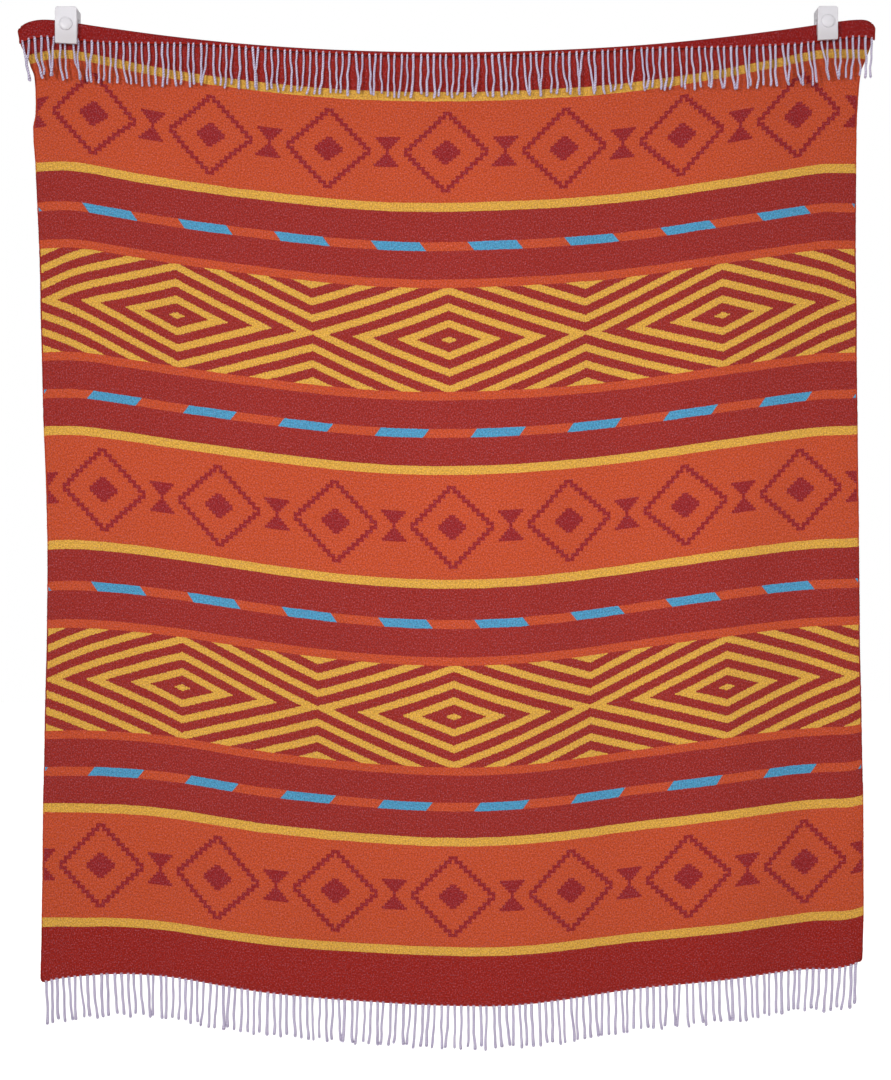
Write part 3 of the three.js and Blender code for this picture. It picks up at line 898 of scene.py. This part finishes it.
def wovenWool():
    look = Look("wovenWool", Roughness=0.95, Sheen_Weight=0.04, Sheen_Roughness=0.5, Specular_IOR_Level=0.08)
    uv = look.node("UVMap", {"uv_map": "weave"}, {})
    u, v = look.node("SeparateXYZ", {}, {0: uv}, (0, 1))
    wobble = look.noise(uv, 28) - 0.5
    fuzz = look.node("TexNoise", {}, {"Vector": uv, "Scale": 620.0, "Detail": 1.0}, "Color")
    fuzzU, fuzzV = look.node("SeparateColor", {}, {0: fuzz}, (0, 1))
    u = u / mm
    v = v / mm
    patternU = u + wobble * wool["edgeWobble"] + (fuzzU - 0.5) * (2 * wool["edgeFuzz"])
    patternV = v + wobble * (2 * wool["edgeWobble"]) + (fuzzV - 0.5) * (2 * wool["edgeFuzz"])
    front = bandedWool(look, patternU, patternV, frontColours, 0)
    back = bandedWool(look, patternU, patternV, backColours, 1)
    shade = look.mix(look.attribute("backFace") > 0.5, front, back)

    # heather: darker fibres, the warp showing through as pale flecks, faint clouds; painted shadow below the
    # flap
    fibres = look.noise(uv, 430, 3.0, 0.65)
    mottle = look.softStep(fibres, 0.3, 0.72) * wool["mottleShare"]
    shade = look.mix(mottle, shade, wool["darkFibre"], "MULTIPLY")
    flecks = look.noise(look.point(u * 0.62, v * 0.42), 1.0, 1.5, 0.7)
    shade = look.mix(look.softStep(flecks, 0.5, 0.78) * wool["fleckShare"], shade, wool["warp"])
    broad = look.softStep(look.noise(uv, 7.0), 0.3, 0.7)
    shade = look.mix(broad * wool["cloudShare"], shade, wool["clouding"], "MULTIPLY")
    # painted shadow on the wool just below the flap's edge
    tucked = look.attribute("tucked") * wool["flapShade"]
    shade = look.mix(tucked, shade, wool["flapShadowColour"], "MULTIPLY")
    look.fill(look.shader.inputs["Base Color"], shade)

    # ribs of weft, set half a rib higher in every other column, under a fine nap
    column = look.maths("FLOOR", u / wool["columnPitch"])
    rib = look.maths("SINE", (v / wool["ribPitch"] + column * 0.5) * (2 * np.pi))
    dip = look.maths("SINE", u / wool["columnPitch"] * (2 * np.pi))
    nap = look.noise(uv, 900, 3.0, 0.7)
    look.bump(rib * 0.35 + dip * 0.2 + nap * 1.6, 0.45 * mm, 0.75)
    return look.material


def edgeYarn(name, tint):
    look = Look(name, Roughness=0.95, Sheen_Weight=0.04, Sheen_Roughness=0.5, Specular_IOR_Level=0.08)
    turn = look.maths("FLOOR", look.attribute("turn"))
    luck = look.node("TexWhiteNoise", {"noise_dimensions": "1D"}, {"W": turn})
    down = look.attribute("down") + (luck - 0.5) * 5
    shade = look.node("ValToRGB", {"stops": bandColours(frontColours)}, {"Fac": bandNumber(down)})
    shade = look.mix(0.55, shade, tint, "MULTIPLY")
    shade = look.mix((luck > 0.86) * 0.8, shade, wool["endRed"])
    place = look.node("TexCoord", {}, {}, "Object")
    nap = look.noise(place, 900, 3.0, 0.7)
    shade = look.mix(look.softStep(nap, 0.35, 0.7) * 0.5, shade, wool["edgeNap"], "MULTIPLY")
    look.fill(look.shader.inputs["Base Color"], shade)
    look.bump(nap, 0.5 * mm, 0.7)
    return look.material


yarn = {
    "crown": colour(236, 227, 248),
    # the groove colour is painted shade between the plies, and it also darkens some patches at random
    "groove": colour(134, 108, 168),
    "fleck": colour(158, 140, 194),
    "tip": colour(202, 192, 222),
    "shaded": (0.55, 0.5, 0.62, 1),  # darkens some strands more than others
    "twist": 7.5,  # length of one full turn of the two plies
}


def fringeYarn():
    # The two plies wind round the strand: a groove lies where cos(place round it - turn) is near 0.
    look = Look("fringeYarn", Roughness=0.95, Sheen_Weight=0.08, Sheen_Roughness=0.5, Specular_IOR_Level=0.1)
    place = look.node("TexCoord", {}, {}, "Object")
    fromRoot, strand = look.attribute("fromRoot"), look.attribute("strand")
    turn = fromRoot * (2 * np.pi / yarn["twist"]) + strand * 40
    aligned = look.attribute("roundCos") * look.maths("COSINE", turn)
    ply = look.maths("ABSOLUTE", aligned + look.attribute("roundSin") * look.maths("SINE", turn))
    # painted shade: the yarn is darker in the grooves between the two plies
    shade = look.mix(look.softStep(ply, 0.0, 0.55), yarn["groove"], yarn["crown"])
    fibres = look.noise(place, 700, 3.0, 0.7)
    shade = look.mix(look.softStep(fibres, 0.54, 0.76) * 0.45, shade, yarn["fleck"])
    broad = look.noise(place, 60, 2.0)
    shade = look.mix(look.softStep(broad, 0.45, 0.8) * 0.2, shade, yarn["groove"])
    nearTip = 1 - look.softStep(look.attribute("toTip"), 1.0, 9.0)
    shade = look.mix(nearTip * 0.5, shade, yarn["tip"])
    shade = look.mix(strand * 0.14, shade, yarn["shaded"], "MULTIPLY")
    nearRoot = 1 - look.softStep(fromRoot, 0.5, 2.5)
    shade = look.mix(nearRoot * 0.35, shade, wool["endRed"])
    look.fill(look.shader.inputs["Base Color"], shade)
    look.bump(ply * 2 + fibres, 0.8 * mm, 0.9)
    return look.material


# low and high are painted shade, lighter at the top and darker below; cloud is the plastic's own cloudy tone
clipToneAndPaintedShade = {"low": colour(206, 201, 204), "high": colour(228, 225, 230), "cloud": colour(210, 206, 211)}


def mouldedPlastic():
    surface = {"Roughness": 0.38, "Specular_IOR_Level": 0.45, "Coat_Weight": 0.1, "Coat_Roughness": 0.3}
    look = Look("mouldedPlastic", **surface)
    place = look.node("TexCoord", {}, {}, "Object")
    cloudy = look.softStep(look.noise(place, 55, 3.0), 0.35, 0.7)
    height = look.node("SeparateXYZ", {}, {0: place}, 2)
    # painted shade: the clip grows darker towards its lower part
    shade = look.mix(look.softStep(height, -22 * mm, 8 * mm), clipToneAndPaintedShade["low"], clipToneAndPaintedShade["high"])
    shade = look.mix(cloudy * 0.35, shade, clipToneAndPaintedShade["cloud"])
    look.fill(look.shader.inputs["Base Color"], shade)
    look.fill(look.shader.inputs["Roughness"], cloudy * 0.12 + 0.34)
    look.bump(look.noise(place, 1800, 2.0), 0.05 * mm, 0.4)
    return look.material


# The stage: a pale floor, soft light most of which comes from in front, and the camera straight in front.
stage = {
    "floor": -1950,
    "floorHalf": 9000,
    "backdrop": 1.0,
    "ambient": 0.28,
    "floorGlow": 0.8,
    "lens": 52.0,
    "sensor": 36.0,
    "frameWide": 891,
    "frameHigh": 1080,
    "millimetresPerPixel": 1.477,
    "middleColumn": 446.9,  # where x = 0 and z = 0 lie in the frame
    "topRow": 25.0,
    "subjectDepth": 20,
}
lampKeys = ("name", "at", "to", "size", "power", "spread")
lamps = [dict(zip(lampKeys, row)) for row in (  # soft lights: places, sizes, powers and how wide they spread
    ("upperLight", (150, -1700, 500), (0, 0, -500), 450, 2.6, 180),
    ("keyLight", (-1700, -2600, 100), (420, 0, -800), 200, 14, 95),
    ("fillLight", (1250, -2300, -300), (0, 0, -700), 1500, 5.2, 100),
    ("frontLight", (0, -2450, -700), (0, 0, -700), 450, 1.8, 90),
    ("lowerLight", (-100, -2100, -1750), (0, 0, -900), 1400, 6.6, 180),
    ("backLight", (300, 2500, 1200), (0, 0, -700), 1400, 42, 180),
)]


def lookAt(thing, target):
    direction = Vector(target) - thing.location
    thing.rotation_euler = direction.to_track_quat("-Z", "Y").to_euler()


def makeStage():
    # the camera sees a white backdrop, and the object gets the weaker ambient light
    world = bpy.data.worlds.new("studio")
    bpy.context.scene.world = world
    world.use_nodes = True
    tree = world.node_tree
    background = tree.nodes["Background"]
    seen = tree.nodes.new("ShaderNodeLightPath")
    level = tree.nodes.new("ShaderNodeMapRange")
    level.inputs["To Min"].default_value = stage["ambient"]
    level.inputs["To Max"].default_value = stage["backdrop"]
    tree.links.new(seen.outputs["Is Camera Ray"], level.inputs["Value"])
    tree.links.new(level.outputs[0], background.inputs["Strength"])
    background.inputs["Color"].default_value = (1, 1, 1, 1)

    reach = stage["floorHalf"]
    corners = [(-reach, -reach), (reach, -reach), (reach, reach), (-reach, reach)]
    mesh = bpy.data.meshes.new("floor")
    mesh.from_pydata([(x * mm, y * mm, stage["floor"] * mm) for x, y in corners], [], [(0, 1, 2, 3)])
    look = Look("paleFloor", Roughness=0.8, Base_Color=(0.9, 0.9, 0.9, 1), Emission_Color=(1, 1, 1, 1))
    glow = look.node("LightPath", {}, {}, "Is Camera Ray") * stage["floorGlow"]
    look.fill(look.shader.inputs["Emission Strength"], glow)
    mesh.materials.append(look.material)
    floor = bpy.data.objects.new("floor", mesh)
    bpy.context.scene.collection.objects.link(floor)

    for lamp in lamps:
        light = bpy.data.lights.new(lamp["name"], "AREA")
        light.shape = "DISK"
        light.size = lamp["size"] * mm
        light.energy = lamp["power"]
        light.spread = np.radians(lamp["spread"])
        thing = bpy.data.objects.new(lamp["name"], light)
        bpy.context.scene.collection.objects.link(thing)
        thing.visible_glossy = lamp["at"][1] < 0  # a light behind would shine back off the clips' sides
        thing.location = Vector(lamp["at"]) * mm
        lookAt(thing, Vector(lamp["to"]) * mm)
    bpy.context.scene.view_settings.view_transform = "Standard"


def makeCamera():
    # far enough back that the longer side of the frame spans its pixels at the cloth's depth
    spans = stage["millimetresPerPixel"] * stage["frameHigh"]
    away = spans * stage["lens"] / stage["sensor"]
    x = (stage["frameWide"] / 2 - stage["middleColumn"]) * stage["millimetresPerPixel"]
    z = (stage["topRow"] - stage["frameHigh"] / 2) * stage["millimetresPerPixel"]
    data = bpy.data.cameras.new("camera")
    data.lens = stage["lens"]
    data.sensor_width = stage["sensor"]
    camera = bpy.data.objects.new("camera", data)
    bpy.context.scene.collection.objects.link(camera)
    camera.location = Vector((x, -stage["subjectDepth"] - away, z)) * mm
    lookAt(camera, Vector((x, 0, z)) * mm)
    bpy.context.scene.camera = camera


makeCamera()
makeStage()
print("camera and stage ready")

woolLook = wovenWool()
throwCloth = makeCloth(woolLook)
print("cloth woven and hung")

whippedYarn = edgeYarn("whippedYarn", whipping["tint"])
overcastYarn = edgeYarn("overcastYarn", overcast["tint"])
edges = [
    makeWhipping("selvedge_left", 0.0, -1, whippedYarn),
    makeWhipping("selvedge_right", 1.0, 1, whippedYarn),
    makeOvercast("cut_end_top", topEnd, overcastYarn),
    makeOvercast("cut_end_bottom", bottomEnd, overcastYarn),
]
yarnLook = fringeYarn()
fringes = [
    makeFringe("throw_fringe_top", "fringe_top", topEnd, yarnLook),
    makeFringe("throw_fringe_bottom", "fringe_bottom", bottomEnd, yarnLook),
]
print("edges whipped and fringes twisted")

plastic = mouldedPlastic()
for place in clips:
    makeClip(place, plastic)
    makeButton(place, plastic)
print("clips moulded")

edges + fringes
